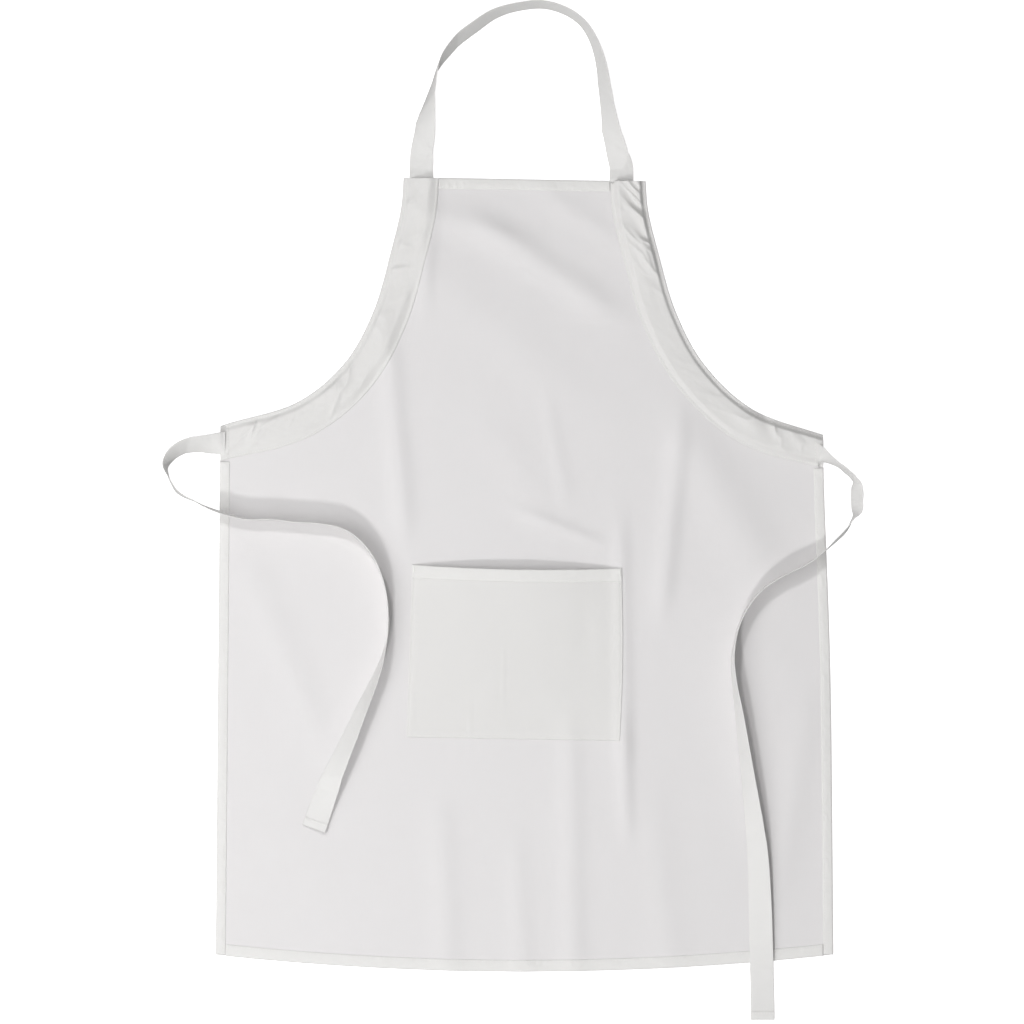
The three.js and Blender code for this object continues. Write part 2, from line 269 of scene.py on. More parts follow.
def noise(x, y, seed):
    """Smooth noise from 0 to 1: seeded values on a unit lattice that repeats, mixed with smooth weights."""
    lattice = np.random.default_rng(seed + sizes().seed).random((LATTICE, LATTICE))
    x, y = np.broadcast_arrays(np.asarray(x, float), np.asarray(y, float))
    i, j = np.floor(x).astype(int), np.floor(y).astype(int)
    u, v = smooth(x - i), smooth(y - j)
    value = lambda a, b: lattice[a % LATTICE, b % LATTICE]
    low = value(i, j) * (1 - u) + value(i + 1, j) * u
    high = value(i, j + 1) * (1 - u) + value(i + 1, j + 1) * u
    return low * (1 - v) + high * v


def creases(x, y, seed):
    """Crisp ridges from 0 to 1: one minus the folded noise, squared, so that they peak along its middle level."""
    return np.square(1 - np.abs(2 * noise(x, y, seed) - 1))


def spline(points, step):
    """A Catmull-Rom curve through the points, sampled at equal steps of its length in the XY plane."""
    p = np.asarray(points, float)
    count = len(p)
    p = np.vstack([2 * p[0] - p[1], p, 2 * p[-1] - p[-2]])
    t = np.linspace(0, count - 1, 60 * count)
    i = np.minimum(t.astype(int), count - 2)
    f = (t - i)[:, None]
    a, b, c, d = p[i], p[i + 1], p[i + 2], p[i + 3]
    curve = b + 0.5 * f * (c - a + f * (2 * a - 5 * b + 4 * c - d + f * (3 * (b - c) + d - a)))
    run = np.append(0, np.cumsum(np.hypot(*np.diff(curve[:, :2], axis=0).T)))
    even = np.linspace(0, run[-1], max(2, round(run[-1] / step)) + 1)
    return np.column_stack([np.interp(even, run, column) for column in curve.T])


def along(path):
    """Length along a path of points, from 0 at its start."""
    return np.append(0, np.cumsum(np.linalg.norm(np.diff(path, axis=0), axis=1)))


# ------------------------------------------------------------------ the cloth's lie
def ridge(x, y, start, end, spread, height):
    """A bell of the given height and spread across the line from start to end, fading past both ends."""
    run = np.subtract(end, start)
    length = np.hypot(*run)
    forward = ((x - start[0]) * run[0] + (y - start[1]) * run[1]) / length
    aside = ((x - start[0]) * run[1] - (y - start[1]) * run[0]) / length
    past = np.maximum(np.maximum(-forward, forward - length), 0)
    return height * bell(aside / spread) * bell(past / (1.5 * spread + 0.02))


def lie(x, y):
    """Height of the body cloth's underside over the floor: broad noise waves, finer ones, the listed ridges."""
    waves = sizes().waves
    rise = waves * noise(x / 0.105 + 9, y / 0.190 + 3, 1)
    rise = rise + 0.22 * waves * noise(x / 0.034, y / 0.060, 2)
    rise = rise + 0.05 * waves * noise(x / 0.011, y / 0.014, 3)
    for fold in FOLDS:
        rise = rise + ridge(x, y, *fold)
    return rise


def half_width(y):
    """Half the apron's width at y: the armhole curve above the waist, the slanting side below it."""
    side = HEM_HALF + (WAIST_HALF - HEM_HALF) * (y - CORNER_Y) / (WAIST_Y - CORNER_Y)
    curve = spline(ARMHOLE, 0.002)[::-1]
    return np.where(y > WAIST_Y, np.interp(y, curve[:, 1], curve[:, 0]), side)


def bottom_edge(x):
    """Y of the bottom edge: a parabola that rises towards the corners."""
    return HEM_BOTTOM + CORNER_RISE * (x / HEM_HALF) ** 2


def settle(x, y):
    """Where the cloth has slid to: its left waist corner towards the neck by up to 7.5 mm, its right one inwards
    by up to 6.5 mm, and the bib's right corner away from the neck by up to 3.5 mm."""
    left = smooth((-x - 0.16) / 0.18) * bell((y - 0.170) / 0.085)
    right = smooth((x - 0.15) / 0.19) * bell((y - 0.150) / 0.180)
    bib = smooth((x + 0.13) / 0.26) * smooth((y - 0.33) / 0.12)
    across = x - 0.0065 * right
    return across, y + 0.0075 * left - 0.0025 * right * bell((y - 0.160) / 0.08) - 0.0035 * bib


def ground(x, y):
    """Top of what lies under a loose tape: the cloth with its hems, or the floor."""
    inside = (np.abs(x) < half_width(y)) & (y > bottom_edge(x)) & (y < BIB_TOP)
    near_side = np.abs(x) > half_width(y) - SIDE_HEM
    near_bottom = y < bottom_edge(x) + BOTTOM_HEM
    layers = sizes().cloth + sizes().turned * (near_side | near_bottom)
    return np.where(inside, lie(x, y) + layers, 0.0)


def armhole_line(inset, count):
    """The right armhole edge moved inwards along its normal, its ends put on the bib's top and the side edge."""
    edge = spline(ARMHOLE, 0.0005)
    edge = edge[np.linspace(0, len(edge) - 1, count).round().astype(int)]
    run = np.gradient(edge, axis=0)
    run /= np.linalg.norm(run, axis=1)[:, None]
    line = edge + inset * np.column_stack([run[:, 1], -run[:, 0]])
    t = np.linspace(0, 1, count)
    line[:, 1] += (BIB_TOP - line[0, 1]) * (1 - smooth(t / 0.12))
    reach = half_width(line[-1, 1]) if line[-1, 1] < WAIST_Y else WAIST_HALF
    line[:, 0] += (reach - line[-1, 0]) * smooth((t - 0.86) / 0.14)
    return line


# ------------------------------------------------------------------ meshes
def put_mesh(name, points, faces, material, uv=None):
    """A smooth-shaded object of the points and quads. If its volume comes out negative, its faces are turned."""
    points = np.asarray(points, float).reshape(-1, 3)
    faces = np.asarray(faces, int)
    a, b, c, d = (points[faces[:, k]] for k in range(4))
    volume = np.einsum("ij,ij->", a, np.cross(b, c)) + np.einsum("ij,ij->", a, np.cross(c, d))
    if volume < 0:
        faces = faces[:, ::-1]
    mesh = bpy.data.meshes.new(name)
    mesh.from_pydata(points.tolist(), [], faces.tolist())
    mesh.polygons.foreach_set("use_smooth", np.ones(len(faces), bool))
    if uv is not None:
        layer = mesh.uv_layers.new(name="Weave")
        layer.data.foreach_set("uv", np.asarray(uv, float).reshape(-1, 2)[faces.ravel()].ravel())
    mesh.materials.append(material)
    mesh.update()
    thing = bpy.data.objects.new(name, mesh)
    bpy.context.scene.collection.objects.link(thing)
    return thing


def grid_faces(rows, columns, closed=False):
    """Quads of a grid of points, row by row. Closed joins the last column to the first."""
    i, j = np.meshgrid(np.arange(rows - 1), np.arange(columns - (not closed)), indexing="ij")
    k = (j + 1) % columns
    quads = [i * columns + j, (i + 1) * columns + j, (i + 1) * columns + k, i * columns + k]
    return np.stack(quads, axis=-1).reshape(-1, 4)


def slab(name, x, y, low, high, material):
    """A closed sheet over a grid of x and y: its underside at low, its top at high, and a rim that joins them."""
    rows, columns = x.shape
    size = rows * columns
    x, y = settle(x, y)
    top = np.stack([x, y, high], axis=-1).reshape(-1, 3)
    under = np.stack([x, y, low], axis=-1).reshape(-1, 3)
    faces = grid_faces(rows, columns)
    index = np.arange(size).reshape(rows, columns)
    loop = np.concatenate([index[0, :-1], index[:-1, -1], index[-1, :0:-1], index[:0:-1, 0]])
    after = np.roll(loop, -1)
    rim = np.stack([loop, after, after + size, loop + size], axis=-1)
    return put_mesh(name, np.vstack([top, under]), np.vstack([faces, faces[:, ::-1] + size, rim]), material)


def across_band(outer, inner, offsets, width):
    """Grid between two lines. Offsets run from 0 at the outer line to width at the inner one."""
    part = (np.asarray(offsets) / width)[None, :]
    x = outer[:, :1] + (inner[:, :1] - outer[:, :1]) * part
    y = outer[:, 1:2] + (inner[:, 1:2] - outer[:, 1:2]) * part
    return x, y


def crease_line(offset, at, depth, spread=0.0011):
    """The dip that a row of stitches pulls into cloth: a bell round its place."""
    return -depth * bell((offset - at) / spread)


# ------------------------------------------------------------------ shaders
# Places of a Mix node's colour sockets, which share their names with its other kinds
MIX_FACTOR, MIX_A, MIX_B, MIX_RESULT = 0, 6, 7, 2


class Socket:
    """A shader value. Arithmetic on it adds the Math node that works it out."""

    def __init__(self, shader, output):
        self.shader = shader
        self.output = output

    def math(self, operation, first, second=None):
        values = {0: first} if second is None else {0: first, 1: second}
        return self.shader.node("ShaderNodeMath", {"operation": operation}, values)

    def __add__(self, other):
        return self.math("ADD", self, other)

    def __sub__(self, other):
        return self.math("SUBTRACT", self, other)

    def __rsub__(self, other):
        return self.math("SUBTRACT", other, self)

    def __mul__(self, other):
        return self.math("MULTIPLY", self, other)

    def __truediv__(self, other):
        return self.math("DIVIDE", self, other)

    def __rtruediv__(self, other):
        return self.math("DIVIDE", other, self)

    def __abs__(self):
        return self.math("ABSOLUTE", self)

    __radd__ = __add__
    __rmul__ = __mul__

    def sine(self):
        return self.math("SINE", self)

    def fraction(self):
        return self.math("FRACT", self)

    def held(self, least, most):
        """The value, kept between the two."""
        return self.math("MAXIMUM", self.math("MINIMUM", self, most), least)


class Shader:
    """A material under construction, with its Principled surface."""

    def __init__(self, name):
        self.material = bpy.data.materials.new(name)
        self.material.use_nodes = True
        self.tree = self.material.node_tree
        self.surface = self.tree.nodes["Principled BSDF"]

    def node(self, kind, settings=None, inputs=None, output=0):
        """Adds a node, sets its settings, then its sockets to values or links, and gives one output."""
        made = self.tree.nodes.new(kind)
        for key, value in (settings or {}).items():
            setattr(made, key, value)
        for key, value in (inputs or {}).items():
            self.fill(made.inputs[key], value)
        return Socket(self, made.outputs[output])

    def fill(self, socket, value):
        if isinstance(value, Socket):
            self.tree.links.new(value.output, socket)
        else:
            socket.default_value = value

    def set(self, **sockets):
        for key, value in sockets.items():
            self.fill(self.surface.inputs[key.replace("_", " ")], value)

    def position(self):
        """Object coordinates, in metres."""
        return self.node("ShaderNodeTexCoord", output="Object")

    def first_two(self, vector):
        """The X and Y of a vector."""
        return [self.node("ShaderNodeSeparateXYZ", inputs={0: vector}, output=axis) for axis in "XY"]

    def noise_at(self, place, scale, stretch=(1, 1, 1), detail=2.0):
        """Noise from 0 to 1 at so many cells a metre, stretched along the axes."""
        mapped = self.node("ShaderNodeMapping", inputs={"Vector": place, "Scale": stretch})
        settings = {"Vector": mapped, "Scale": scale, "Detail": detail, "Roughness": 0.55}
        return self.node("ShaderNodeTexNoise", inputs=settings, output="Fac")

    def bump(self, height, distance, strength=1.0):
        inputs = {"Height": height, "Distance": distance, "Strength": strength}
        return self.node("ShaderNodeBump", inputs=inputs, output="Normal")

    def shade_of(self, colour, factor, spread):
        """The colour, darkened by the spread where the factor is 0 and lightened by it where it is 1."""
        darker = [c * (1 - spread) for c in colour] + [1]
        lighter = [min(c * (1 + spread), 1) for c in colour] + [1]
        inputs = {MIX_FACTOR: factor, MIX_A: darker, MIX_B: lighter}
        return self.node("ShaderNodeMix", {"data_type": "RGBA"}, inputs, MIX_RESULT)


def plain_weave(x, y, pitch):
    """Height of a plain weave: rounded warp and weft threads that pass over each other in a chequer."""
    warp = (x * (math.pi / pitch)).sine()
    weft = (y * (math.pi / pitch)).sine()
    over = (warp * weft * 2.0 + 0.5).held(0.0, 1.0)
    return abs(warp) * over + abs(weft) * (1 - over)


def cotton_material(name, colour):
    """Matt plain-weave cotton: relief of single threads, slubs along both of them, faint clouds, a soft sheen.
    Its colour also follows the weave's height, lighter on the threads' crowns and darker between them: painted
    shade.
    """
    shader = Shader(name)
    place = shader.position()
    weave = plain_weave(*shader.first_two(place), 0.55 * MM)
    slub_x = shader.noise_at(place, 1500, (0.05, 1, 1), 3.0)
    slub_y = shader.noise_at(place, 1500, (1, 0.05, 1), 3.0)
    cloud = shader.noise_at(place, 14, detail=3.0)
    # Random tone of slubs and clouds, plus painted shade in the weave's hollows
    tone_and_weave_shade = slub_x * 0.3 + slub_y * 0.3 + cloud * 0.25 + weave * 0.15
    relief = weave * 0.45 + slub_x * 0.35 + slub_y * 0.35
    shader.set(
        Base_Color=shader.shade_of(colour, tone_and_weave_shade, 0.035),
        Roughness=tone_and_weave_shade * 0.08 + 0.86,
        Normal=shader.bump(relief, 0.00012, 0.75),
        Specular_IOR_Level=0.25,
        Sheen_Weight=0.12,
        Sheen_Roughness=0.5,
    )
    return shader.material


def tape_material(name, colour):
    """Herringbone tape: diagonal ribs that turn back across four columns, and faint clouds. Its colour is darker
    in the ribs' grooves: painted shade.
    """
    shader = Shader(name)
    u, v = shader.first_two(shader.node("ShaderNodeUVMap", {"uv_map": "Weave"}))
    column = abs((u / (13.5 * MM)).fraction() - 0.5)
    ribs = abs((v * (math.pi / (1.3 * MM)) + column * 26.0).sine())
    place = shader.position()
    fuzz = shader.noise_at(place, 900, detail=3.0)
    cloud = shader.noise_at(place, 30, detail=2.0)
    # Random tone of fuzz and clouds, plus painted shade in the grooves between the ribs
    tone_and_weave_shade = ribs * 0.3 + fuzz * 0.3 + cloud * 0.4
    shader.set(
        Base_Color=shader.shade_of(colour, tone_and_weave_shade, 0.04),
        Roughness=fuzz * 0.08 + 0.82,
        Normal=shader.bump(ribs * 0.6 + fuzz * 0.4, 0.00016, 0.7),
        Specular_IOR_Level=0.3,
        Sheen_Weight=0.1,
        Sheen_Roughness=0.5,
    )
    return shader.material


def thread_material(name, colour):
    """Spun thread with a soft lustre: fine turns of twist in its relief. Its colour is darker in the twist's
    grooves, painted shade, and varies at random with the fuzz.
    """
    shader = Shader(name)
    place = shader.position()
    x, y = shader.first_two(place)
    twist = abs(((x + y) * (math.pi / (0.45 * MM))).sine())
    fuzz = shader.noise_at(place, 2500, detail=2.0)
    # The twist term paints shade into the grooves between the turns
    shader.set(
        Base_Color=shader.shade_of(colour, twist * 0.5 + fuzz * 0.5, 0.05),
        Roughness=fuzz * 0.1 + 0.55,
        Normal=shader.bump(twist, 0.00006, 0.6),
        Specular_IOR_Level=0.35,
        Sheen_Weight=0.05,
    )
    return shader.material


def floor_material(name, colour):
    """Pale matt floor that glows a little, so that it stays even."""
    shader = Shader(name)
    cloud = shader.noise_at(shader.position(), 3, detail=2.0)
    shader.set(
        Base_Color=shader.shade_of(colour, cloud, 0.005),
        Roughness=0.9,
        Emission_Color=(1, 1, 1, 1),
        Emission_Strength=0.75,
        Specular_IOR_Level=0.1,
    )
    return shader.material


def material(kind):
    """The material of that kind, made the first time it is asked for."""
    if kind in bpy.data.materials:
        return bpy.data.materials[kind]
    makers = {
        "woven_cotton": lambda: cotton_material(kind, colours().cotton),
        "woven_cotton_layered": lambda: cotton_material(kind, colours().layered),
        "woven_cotton_folded": lambda: cotton_material(kind, colours().folded),
        "herringbone_tape": lambda: tape_material(kind, colours().tape),
        "sewing_thread": lambda: thread_material(kind, colours().thread),
        "pale_floor": lambda: floor_material(kind, colours().floor),
    }
    return makers[kind]()


# ------------------------------------------------------------------ joining pieces to bodies
def on_body(thing, body, slot, *nodes):
    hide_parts(*nodes)
    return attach(thing, body)


def over_fold(thing, slot, *nodes):
    """The piece crosses the bib fold: hides the frame's parts that it stands for and bakes its placement into its
    mesh, attached to no body.
    """
    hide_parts(*nodes)
    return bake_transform(thing)


# ------------------------------------------------------------------ operators
class APRON_OT_stage(Operator):
    """Adds the camera, the soft lights and the pale floor."""

    bl_idname = "apron.stage"
    bl_label = "Stage"

    def execute(self, context):
        self.camera(context.scene)
        for lamp in LAMPS:
            self.light(*lamp)
        self.floor()
        world = bpy.data.worlds.new("studio")
        world.use_nodes = True
        background = world.node_tree.nodes["Background"]
        background.inputs["Color"].default_value = (1, 1, 1, 1)
        background.inputs["Strength"].default_value = WORLD_LIGHT
        context.scene.world = world
        context.scene.view_settings.view_transform = "Standard"
        return {"FINISHED"}

    def camera(self, scene):
        """Straight above, a little to the left of the panel's middle and towards the neck."""
        lens = bpy.data.cameras.new("above")
        lens.sensor_width = 36
        lens.lens = lens.sensor_width * CAMERA[2] / VIEW_WIDTH
        camera = bpy.data.objects.new("above", lens)
        camera.location = CAMERA
        scene.collection.objects.link(camera)
        scene.camera = camera

    def light(self, name, place, size, power):
        """A square lamp that faces the origin and isn't seen itself."""
        lamp = bpy.data.lights.new(name, "AREA")
        lamp.shape = "SQUARE"
        lamp.size = size
        lamp.energy = power
        thing = bpy.data.objects.new(name, lamp)
        thing.location = place
        x, y, z = place
        thing.rotation_euler = (math.atan2(math.hypot(x, y), z), 0, math.atan2(x, -y))
        thing.visible_camera = False
        bpy.context.scene.collection.objects.link(thing)

    def floor(self):
        """A closed slab, 10 m square, whose top is just under the apron."""
        side = np.linspace(-FLOOR_HALF, FLOOR_HALF, 11)
        x, y = np.meshgrid(side, side, indexing="ij")
        low, high = np.full(x.shape, FLOOR_UNDER), np.full(x.shape, FLOOR_TOP)
        floor = slab("floor", x, y, low, high, material("pale_floor"))
        floor.visible_diffuse = False


class APRON_OT_neck_strap(Operator):
    """Adds the neck loop: one tape from facing to facing, which turns over once on its way round."""

    bl_idname = "apron.neck_strap"
    bl_label = "Neck strap"

    def execute(self, context):
        strap, path = tape("neck_strap_tape", NECK_ROUTE, NECK_SEED, NECK_CREASES)
        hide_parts("neck_strap")
        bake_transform(strap)
        return {"FINISHED"}


class APRON_OT_waist_ties(Operator):
    """Adds both waist ties with their folded ends."""

    bl_idname = "apron.waist_ties"
    bl_label = "Waist ties"

    def execute(self, context):
        self.tie("left", LEFT_ROUTE, -1, LEFT_CREASES)
        self.tie("right", RIGHT_ROUTE, 1, RIGHT_CREASES)
        return {"FINISHED"}

    def tie(self, side, route, top, creases_at):
        body = f"{side}_waist_tie"
        strap, path = tape(f"{side}_tie_tape", route, TIE_SEED, creases_at)
        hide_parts(f"{side}_tie", f"{side}_tie_root")
        hem = self.end_hem(side, route, top)
        on_body(hem, body, "twill_tape", f"{side}_tie_end_hem")
        thread = self.end_thread(side, route, top)
        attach(thread, body)
        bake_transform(strap)

    def end_hem(self, side, route, top):
        """The tape's end turned over: a second layer on the tape's last stretch, wrapped round the end."""
        run, middle, across, face = tape_frames(route, END_STEP, TIE_SEED)
        kept = run > run[-1] - sizes().end_hem
        middle, across, face = middle[kept], across[kept], face[kept]
        ring = tape_ring(sizes().tape_width + 0.4 * MM, 0.9 * MM)
        lift = top * (sizes().tape_thickness * 0.5 + 0.4 * MM)
        points, faces, uv = carry(ring, middle + face * lift, across, face)
        return put_mesh(f"{side}_tie_end_fold", points, faces, material("herringbone_tape"), uv)

    def end_thread(self, side, route, top):
        """The row of stitches across the fold, 1.8 mm from its inner edge."""
        run, middle, across, face = tape_frames(route, END_STEP, TIE_SEED)
        at = np.searchsorted(run, run[-1] - sizes().end_hem + 0.0018)
        reach = np.linspace(-0.46, 0.46, 12)[:, None] * sizes().tape_width
        lift = top * (sizes().tape_thickness * 0.5 + 0.92 * MM)
        line = middle[at] + across[at] * reach + face[at] * lift
        return stitches(f"{side}_tie_end_stitches", line)


class APRON_OT_body_cloth(Operator):
    """Adds the body cloth: skirt and bib in one."""

    bl_idname = "apron.body_cloth"
    bl_label = "Body cloth"

    rows: IntProperty(name="Rows", description="Grid rows from the bib's top to the bottom", default=262)
    columns: IntProperty(name="Columns", description="Grid columns from side to side", default=176)

    def execute(self, context):
        x, y = self.spread()
        low = lie(x, y)
        cloth = slab("body_cloth", x, y, low, low + sizes().cloth, material("woven_cotton"))
        over_fold(cloth, "cotton", "skirt_panel", "bib_panel")
        return {"FINISHED"}

    def edge(self):
        """The right edge from the bib's top to the bottom corner, in equal steps."""
        armhole = spline(ARMHOLE, 0.001)
        line = np.vstack([armhole, [[HEM_HALF, CORNER_Y]]])
        run = along(line)
        even = np.linspace(0, run[-1], self.rows)
        return np.column_stack([np.interp(even, run, column) for column in line.T])

    def spread(self):
        """Each row runs from edge to edge through a point of the middle line, bowed as the square of its share
        of the half width."""
        edge = self.edge()
        middle = np.linspace(BIB_TOP, HEM_BOTTOM, self.rows)
        share = np.linspace(-1, 1, self.columns)[None, :]
        x = edge[:, :1] * share
        y = middle[:, None] + (edge[:, 1:2] - middle[:, None]) * share**2
        return x, y


class APRON_OT_hems(Operator):
    """Adds the bib's top hem, the side hems and the bottom hem, each with its stitches."""

    bl_idname = "apron.hems"
    bl_label = "Hems"

    def execute(self, context):
        reach = armhole_line(FACING, 400)[0, 0] - 0.3 * MM
        x = np.linspace(-reach, reach, 180)
        top = np.column_stack([x, np.full(x.shape, BIB_TOP)])
        self.hem("bib_top_hem", BIB, top, top - [0, TOP_HEM], TOP_HEM, 11)

        inner = HEM_HALF - SIDE_HEM - 0.3 * MM
        x = np.linspace(-inner, inner, 470)
        low = np.column_stack([x, bottom_edge(x)])
        self.hem("bottom_hem", SKIRT, low, low + [0, BOTTOM_HEM], BOTTOM_HEM, 12)

        upper = armhole_line(FACING, 400)[-1, 1] - 0.3 * MM
        y = np.linspace(upper, CORNER_Y, 400)
        for side, sign in (("left", -1), ("right", 1)):
            edge = np.column_stack([sign * half_width(y), y])
            self.hem(f"{side}_side_hem", SKIRT, edge, edge - [sign * SIDE_HEM, 0], SIDE_HEM, 13 + sign)
        return {"FINISHED"}

    def hem(self, node, body, outer, inner, width, seed):
        """Turned layers between the outer and the inner line: rounded at both folds, dipped along the stitches,
        puckered by noise that is strongest beside them."""
        offsets = np.concatenate([[-WRAP, 0], np.linspace(0.4 * MM, width - 0.3 * MM, 16), [width]])
        x, y = across_band(outer, inner, offsets, width)
        run = along(outer)[:, None]
        offset = offsets[None, :]
        base = lie(x, y)
        layer = sizes().cloth + GAP
        shoulder = 1 - np.abs(2 * offset / width - 1) ** 9
        pucker = 0.55 * MM * creases(run / 0.0075, offset / 0.012, seed) * smooth(offset / (0.6 * width))
        high = layer + sizes().turned * (0.25 + 0.75 * shoulder) + pucker * shoulder
        high = high + crease_line(offset, width - INSET, 0.22 * MM)
        low = np.where(offset < 0, 0.05 * MM, layer)
        high = np.where(offset < 0, sizes().cloth, high)
        thing = slab(f"{node}_turned", x, y, base + low, base + high, material("woven_cotton_folded"))
        on_body(thing, body, "cotton", node)
        sewn = outer + (inner - outer) * (1 - INSET / width)
        height = lie(sewn[:, 0], sewn[:, 1]) + layer + sizes().turned - 0.12 * MM
        line = np.column_stack([sewn, height])[3:-3]
        name = node.removesuffix("_hem")
        on_body(stitches(f"{name}_stitches", line), body, "thread", f"{name}_stitching")


class APRON_OT_facings(Operator):
    """Adds both armhole facings with the tape inside them and their two rows of stitches."""

    bl_idname = "apron.facings"
    bl_label = "Armhole facings"

    steps: IntProperty(name="Steps", description="Grid steps along an armhole", default=420)

    def execute(self, context):
        for side, sign in (("left", -1), ("right", 1)):
            self.facing(side, sign)
            self.hidden_tape(side, sign)
            for row, inset in (("outer", LIP), ("inner", FACING - INSET)):
                self.row_of_stitches(side, sign, row, inset)
            self.mouth_stitches(side, sign)
        return {"FINISHED"}

    def relief(self, side, run, offset, total):
        """Height of a facing's top over the body cloth: low at both rows of stitches, filled by the tape between
        them, with creases that slant across it and change their slant along the run, and flat folded margins.
        Each side has its own fullness, slant and stretches where the creases are pulled tight."""
        if side == "left":
            seed, rise, fall, depth = 31, 5.5 * MM, 10.0 * MM, 1.9 * MM
            slant = -0.8 + 2.1 * smooth((run - 0.12) / 0.12)
            pulled = 0.7 + 0.8 * bell((run - 0.27) / 0.08)
            least, more = 0.45, 0.75
        else:
            seed, rise, fall, depth = 47, 4.2 * MM, 7.0 * MM, 3.2 * MM
            slant = -1.7 + 2.1 * smooth((run - 0.28) / 0.08)
            ends = np.maximum(1 - smooth((run - 0.10) / 0.06), smooth((run - 0.29) / 0.05))
            pulled = 0.25 + 1.05 * ends
            least, more = 1.0, 0.4
        channel = smooth((offset - LIP - 0.3 * MM) / rise)
        channel = channel * smooth((FACING - INSET - 0.4 * MM - offset) / fall)
        skewed = run - slant * offset
        fine = creases(skewed / 0.024 + 0.3 * noise(run / 0.03, 2.0, seed), offset / 0.045, seed)
        wander = 1.4 * noise(run / 0.022, offset / 0.05, seed + 6)
        tucks = creases(skewed / 0.016 + wander, offset / 0.034, seed + 4) * bell((offset - 0.012) / 0.012)
        tucks = tucks * smooth(2.6 * noise(run / 0.034, 7.0, seed + 5) - 0.7)
        broad = creases(skewed / 0.060, offset / 0.050 + 4, seed + 1)
        patch = smooth(2.4 * noise(run / 0.060, 0.5, seed + 2) - 0.45)
        taut = pulled * channel
        plump = least + more * noise(run / 0.050, 1.0, seed + 7)
        full = depth * channel * plump
        full = full + (1.9 * MM * fine + 3.6 * MM * tucks) * taut * (0.35 + 0.65 * patch)
        full = full + 1.5 * MM * broad * taut
        margin = 0.25 * MM * noise(run / 0.006, offset / 0.004, seed + 3)
        edge = smooth((offset + 0.35 * MM) / (0.6 * MM)) * smooth((FACING + 0.3 * MM - offset) / (0.7 * MM))
        height = full + (0.75 * MM + margin) * edge + 0.15 * MM
        return height + 0.3 * MM * smooth((run - total + 0.010) / (0.6 * MM))

    def grid(self, sign):
        """X, Y, offset from the armhole edge and length along the channel, over the whole facing."""
        edges = [-WRAP, 0, 0.4 * MM]
        offsets = np.concatenate([edges, np.linspace(1 * MM, FACING - 1 * MM, 38), [FACING - 0.3 * MM, FACING]])
        lines = np.stack([armhole_line(inset, self.steps) for inset in offsets], axis=1)
        run = along(armhole_line(TAPE_INSET, self.steps))
        return sign * lines[..., 0], lines[..., 1], offsets[None, :], run[:, None]

    def facing(self, side, sign):
        x, y, offset, run = self.grid(sign)
        base = lie(x, y) + sizes().cloth + GAP
        rise = self.relief(side, run, offset, run[-1, 0])
        high = base + rise
        low = np.maximum(base, high - sizes().cloth)
        low = np.where(offset < 0, base - sizes().cloth, low)
        high = np.where(offset < 0, base, np.maximum(high, low + 0.1 * MM))
        thing = slab(f"{side}_armhole_facing", x, y, low, high, material("woven_cotton_layered"))
        over_fold(thing, "cotton", f"{side}_facing", f"{side}_facing_end")

    def hidden_tape(self, side, sign):
        """The tape inside the channel, flat on the body cloth."""
        width = sizes().tape_width
        offsets = TAPE_INSET + np.linspace(-width / 2, width / 2, 9)
        lines = np.stack([armhole_line(inset, self.steps // 3) for inset in offsets], axis=1)
        x, y = sign * lines[3:-3, :, 0], lines[3:-3, :, 1]
        low = lie(x, y) + sizes().cloth + 0.05 * MM
        crown = 0.15 * MM * (1 - np.linspace(-1, 1, 9)[None, :] ** 4)
        thing = slab(f"{side}_tape_in_facing", x, y, low, low + 0.55 * MM + crown, material("herringbone_tape"))
        over_fold(thing, "twill_tape", f"{side}_facing_tape", f"{side}_facing_end_tape")

    def top_at(self, side, sign, line, inset):
        """Puts a line on the facing's top."""
        run = along(armhole_line(TAPE_INSET, len(line)))
        height = self.relief(side, run, np.full(run.shape, inset), run[-1])
        x = sign * line[:, 0]
        z = lie(x, line[:, 1]) + sizes().cloth + height + 0.05 * MM
        return np.column_stack([x, line[:, 1], z])

    def row_of_stitches(self, side, sign, row, inset):
        line = self.top_at(side, sign, armhole_line(inset, self.steps), inset)[3:-3]
        nodes = [f"{side}_facing_{row}_stitching", f"{side}_facing_end_{row}_stitching"]
        over_fold(stitches(f"{side}_facing_{row}_stitches", line), "thread", *nodes)

    def mouth_stitches(self, side, sign):
        """The row across the facing's end, through its top layer."""
        insets = np.linspace(2 * MM, FACING - 2 * MM, 40)
        lines = np.stack([armhole_line(inset, self.steps) for inset in insets])
        reach = WAIST_HALF - MOUTH
        at = np.argmin(np.abs(lines[..., 0] - reach), axis=1)
        points = lines[np.arange(len(insets)), at]
        run = along(armhole_line(TAPE_INSET, self.steps))
        height = self.relief(side, run[at], insets, run[-1])
        x = sign * points[:, 0]
        z = lie(x, points[:, 1]) + sizes().cloth + height + 0.1 * MM
        thing = stitches(f"{side}_facing_mouth_stitches", np.column_stack([x, points[:, 1], z]))
        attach(thing, SKIRT)


